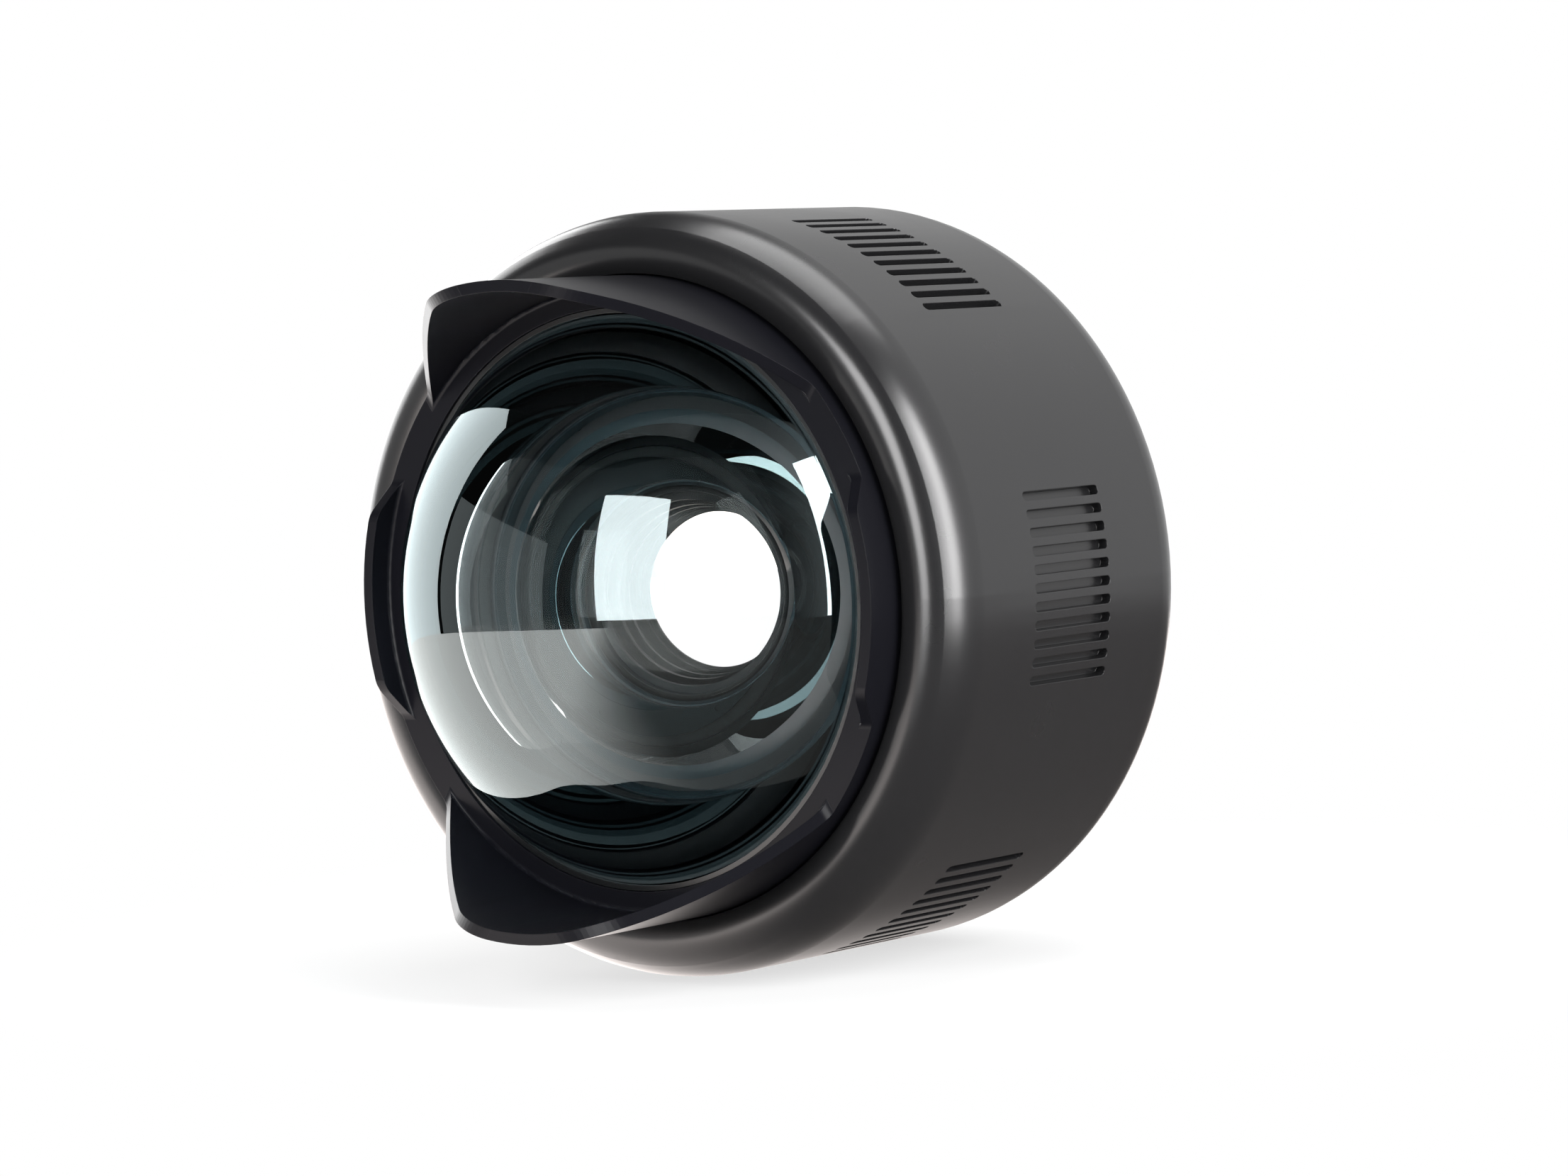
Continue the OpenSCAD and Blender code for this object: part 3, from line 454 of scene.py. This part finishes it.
class PORT_OT_barrel(bpy.types.Operator):
    """Finishes the barrel, the cells, the rings and the mount"""

    bl_idname = "port.barrel"
    bl_label = "Barrel, cells and mount"

    def execute(self, context):
        s = context.scene.port_metal
        # Turned and anodised: dark blue-grey steps where it shows through the glass
        show("main_barrel", anodised("Black anodised aluminium, barrel", s.barrel, 0.4))
        # Milled and anodised: smoother than the barrel, with softly broken edges on the lugs
        show("port_mount_ring", anodised("Black anodised aluminium, mount", s.mount, 0.3, bevel=0.3))
        # Matt anodising against stray light: the cells stay dark between the elements
        dull = anodised("Matt black anodised aluminium", s.cell, 0.55, spec=0.3)
        for node in ("inner_cell", "inner_cell_screws", "rear_cell", "spacer_ring"):
            show(node, dull)
        # Finely turned and anodised: a narrow, glossy lip round the glass
        show("front_retaining_ring", anodised("Black anodised ring", s.rings, 0.25, bevel=0.12))
        # Turned rings behind coated glass: thin blue-grey arcs
        inner = anodised(
            "Blue-grey anodised rings", s.inner_rings, 0.4, bevel=0.1, spec=0.2, cast=s.ring_cast
        )
        for which in ("second", "third", "sixth", "rear"):
            show(which + "_retaining_ring", inner)
        return {"FINISHED"}


class PORT_OT_fasteners(bpy.types.Operator):
    """Finishes the screws in stainless steel and the seals in black rubber"""

    bl_idname = "port.fasteners"
    bl_label = "Screws and seals"

    def execute(self, context):
        s = context.scene.port_metal
        steel = stainless(s.steel)
        rubber = nitrile(s.seal)
        for node, slot in SLOT_OF.items():
            # The inner cell's screws are blackened with the cell
            if slot == "screw_steel" and node != "inner_cell_screws":
                show(node, steel)
            if slot == "seal_rubber":
                show(node, rubber)
        return {"FINISHED"}


class PORT_OT_glass(bpy.types.Operator):
    """Turns the glass elements as smooth lenses in place of their CAD solids"""

    bl_idname = "port.glass"
    bl_label = "Glass elements"

    def execute(self, context):
        s = context.scene.port_glass
        # Each line gives the front and the rear face as (rim radius, sag), and where the paint starts, in mm
        dome = self.element(s, "front", s.index, (70.35, 44.3), (58, -48.65), 70.6, shine=1.0, bevel=1.05)
        self.blacken_seat(s, dome)
        self.element(s, "second", s.index, (56.8, 23.8), (38, -22.9), 57, shine=0.04, inner_shine=1.0)
        self.element(s, "third", s.index, (39, -1.0), (39, 7.9), 39.2, shine=0.2)
        self.element(s, "sixth", s.sixth_index, (33.3, -1.8), (33.3, 4.3), 33.5, inner_shine=0.5)
        self.element(s, "rear", s.rear_index, (29.1, 9.3), (29.1, 0), 29.3, inner_shine=0.5)
        # The doublet lets the light straight through, which spares the render's few bounces for the others
        doublet = coated_glass("Cemented doublet", s, s.doublet_index, 0.1, 0.5, 36, clear=True)
        for node in ("doublet_front_element", "doublet_rear_element"):
            show(node, doublet)
        return {"FINISHED"}

    def element(self, s, which, index, front, rear, paint_from, shine=0.1, inner_shine=0.1, bevel=0.0):
        """Turns an element and gives it its coated glass."""
        made = turned_lens(which + "_element", front, rear, bevel)
        glass = coated_glass("Coated " + which + " glass", s, index, shine, inner_shine, paint_from)
        made.data.materials.append(glass)
        return made

    def blacken_seat(self, s, dome):
        """Paints the flat ring on which the front glass rests."""
        dome.data.materials.append(blackened_land(s.land))
        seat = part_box("front_element")[1].y
        for face in dome.data.polygons:
            corners = [dome.data.vertices[i].co.y for i in face.vertices]
            face.material_index = int(all(abs(y - seat) < PLANE_SLACK for y in corners))


class PORT_OT_stage(bpy.types.Operator):
    """Sets up the floor, the lamps, the world and the camera"""

    bl_idname = "port.stage"
    bl_label = "Stage"

    def execute(self, context):
        s = context.scene.port_stage
        scene = context.scene
        self.floor(s)
        self.lamps()
        self.world(scene)
        self.camera(scene, s)
        scene.view_settings.view_transform = "Standard"
        return {"FINISHED"}

    def floor(self, s):
        """Lays the round table top under the port."""
        turns = [2 * math.pi * k / TABLE_SIDES for k in range(TABLE_SIDES)]
        ring = [(TABLE_RADIUS * math.cos(a), TABLE_RADIUS * math.sin(a), s.floor) for a in turns]
        mesh = bpy.data.meshes.new("floor")
        mesh.from_pydata(ring, [], [list(range(TABLE_SIDES))])
        made = bpy.data.objects.new("floor", mesh)
        bpy.context.scene.collection.objects.link(made)
        mesh.materials.append(table_top())

    def lamps(self):
        """Sets up the lamps, with places and sizes in metres and power in watts."""
        # The left soft box is the broad, bright band at the left of the glass
        self.lamp("left soft box", at=(-1.15, 0.33, 0.12), aim=(0, 0.33, 0.12), wide=1.27, tall=1.5, power=25)
        # A dim wall nearer to the camera keeps the left side from going black
        self.lamp("left wall", at=(-1.15, -1.05, 0.12), aim=(0, -0.3, 0.12), wide=1.5, tall=0.9, power=3)
        # The front soft box is the bright four-sided patch in the glass
        self.lamp("front soft box", at=(0.21, -1.49, 0.4), aim=(0, -0.1, 0.1), wide=0.66, tall=1.15, power=30)
        # The right strip draws the light line along the collar's rounded front
        self.lamp("right strip", at=(1.15, -0.115, 0.5), aim=(0, -0.115, 0.5), wide=0.39, tall=1.3, power=30)
        # The top soft box lights the collar's upper side
        self.lamp("top soft box", at=(0, 0.25, 1.25), aim=(0, -0.06, 0), wide=1.0, tall=0.8, power=12)

    def lamp(self, name, at, aim, wide, tall, power):
        """Adds a soft box that the camera doesn't see."""
        data = bpy.data.lights.new(name, "AREA")
        data.shape = "RECTANGLE"
        data.size = wide
        data.size_y = tall
        data.energy = power
        made = bpy.data.objects.new(name, data)
        bpy.context.scene.collection.objects.link(made)
        made.location = at
        made.rotation_euler = (Vector(aim) - Vector(at)).to_track_quat("-Z", "Y").to_euler()
        made.visible_camera = False

    def world(self, scene):
        """Makes a room that is dark in front and on the left, and all white to the camera and the lenses."""
        world = bpy.data.worlds.new("studio")
        scene.world = world
        world.use_nodes = True
        tree = world.node_tree
        tree.nodes.clear()
        out = add(tree, "ShaderNodeOutputWorld", (900, 0))
        place = add(tree, "ShaderNodeTexCoord", (-900, 0)).outputs["Generated"]
        split = add(tree, "ShaderNodeSeparateXYZ", (-700, 0), {0: place})
        # The more a direction points to the right and behind, the whiter the room is there
        across = add(tree, MATH, (-600, 100), {0: split.outputs["X"], 1: 0.6}, operation="MULTIPLY")
        along = add(tree, MATH, (-600, -100), {0: split.outputs["Y"], 1: 0.8}, operation="MULTIPLY")
        toward = add(tree, MATH, (-500, 0), {0: across, 1: along}, operation="ADD")
        walls = {"Value": toward, "From Min": 0.1, "From Max": 0.7, "To Min": 0.02, "To Max": 1.0}
        right = add(tree, RANGE, (-400, 0), walls, **SOFT)
        # Straight behind, it is white on the left too
        back_wall = {"Value": split.outputs["Y"], "From Min": 0.6, "From Max": 0.9}
        behind = add(tree, RANGE, (-400, -200), back_wall, **SOFT)
        room = add(tree, MATH, (-200, 0), {0: right, 1: behind}, operation="MAXIMUM")
        path = add(tree, "ShaderNodeLightPath", (-900, 400))
        through = path.outputs["Is Transmission Ray"]
        passed = add(tree, MATH, (-600, 300), {0: through, 1: LENS_LIGHT}, operation="MULTIPLY")
        camera = path.outputs["Is Camera Ray"]
        seen = add(tree, MATH, (-300, 300), {0: camera, 1: passed}, operation="MAXIMUM")
        amount = add(tree, MATH, (0, 0), {0: room, 1: seen}, operation="MAXIMUM")
        light = {"Color": linear("#FFFFFF"), "Strength": amount}
        finish(tree, out, add(tree, "ShaderNodeBackground", (300, 0), light))

    def camera(self, scene, s):
        """Stands the camera at the eye, turned by its azimuth, elevation and roll."""
        data = bpy.data.cameras.new("camera")
        data.sensor_width = SENSOR
        data.lens = s.lens
        data.clip_start = 0.05
        data.clip_end = 50
        made = bpy.data.objects.new("camera", data)
        scene.collection.objects.link(made)
        a, e, t = (math.radians(v) for v in (s.azimuth, s.elevation, s.roll))
        back = Vector((math.sin(a) * math.cos(e), -math.cos(a) * math.cos(e), math.sin(e)))
        right = Vector((math.cos(a), math.sin(a), 0.0))
        up = back.cross(right)
        across = right * math.cos(t) + up * math.sin(t)
        above = up * math.cos(t) - right * math.sin(t)
        turn = Matrix((across, above, back)).transposed().to_4x4()
        made.matrix_world = Matrix.Translation(Vector(s.eye)) @ turn
        scene.camera = made


class PORT_PT_panel(bpy.types.Panel):
    """Lists the steps that dress the port, and their settings"""

    bl_label = "Conversion port"
    bl_idname = "PORT_PT_panel"
    bl_space_type = "VIEW_3D"
    bl_region_type = "UI"
    bl_category = "Port"

    def draw(self, context):
        for step in STEPS:
            self.layout.operator(step)
        for group in GROUPS:
            box = self.layout.box()
            settings = getattr(context.scene, group)
            for name in settings.__annotations__:
                box.prop(settings, name)


STEPS = ("port.collar", "port.hood", "port.barrel", "port.fasteners", "port.glass", "port.stage")
GROUPS = {"port_metal": PortMetal, "port_glass": PortGlass, "port_stage": PortStage}
OPERATORS = (PORT_OT_collar, PORT_OT_hood, PORT_OT_barrel, PORT_OT_fasteners, PORT_OT_glass, PORT_OT_stage)


def register():
    for cls in (*GROUPS.values(), *OPERATORS, PORT_PT_panel):
        bpy.utils.register_class(cls)
    for name, cls in GROUPS.items():
        setattr(bpy.types.Scene, name, bpy.props.PointerProperty(type=cls))


def unregister():
    for name in GROUPS:
        delattr(bpy.types.Scene, name)
    for cls in (PORT_PT_panel, *reversed(OPERATORS), *reversed(GROUPS.values())):
        bpy.utils.unregister_class(cls)


def main():
    """Registers the add-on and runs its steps."""
    register()
    for step in STEPS:
        group, name = step.split(".")
        getattr(getattr(bpy.ops, group), name)()


if __name__ == "__main__":
    main()
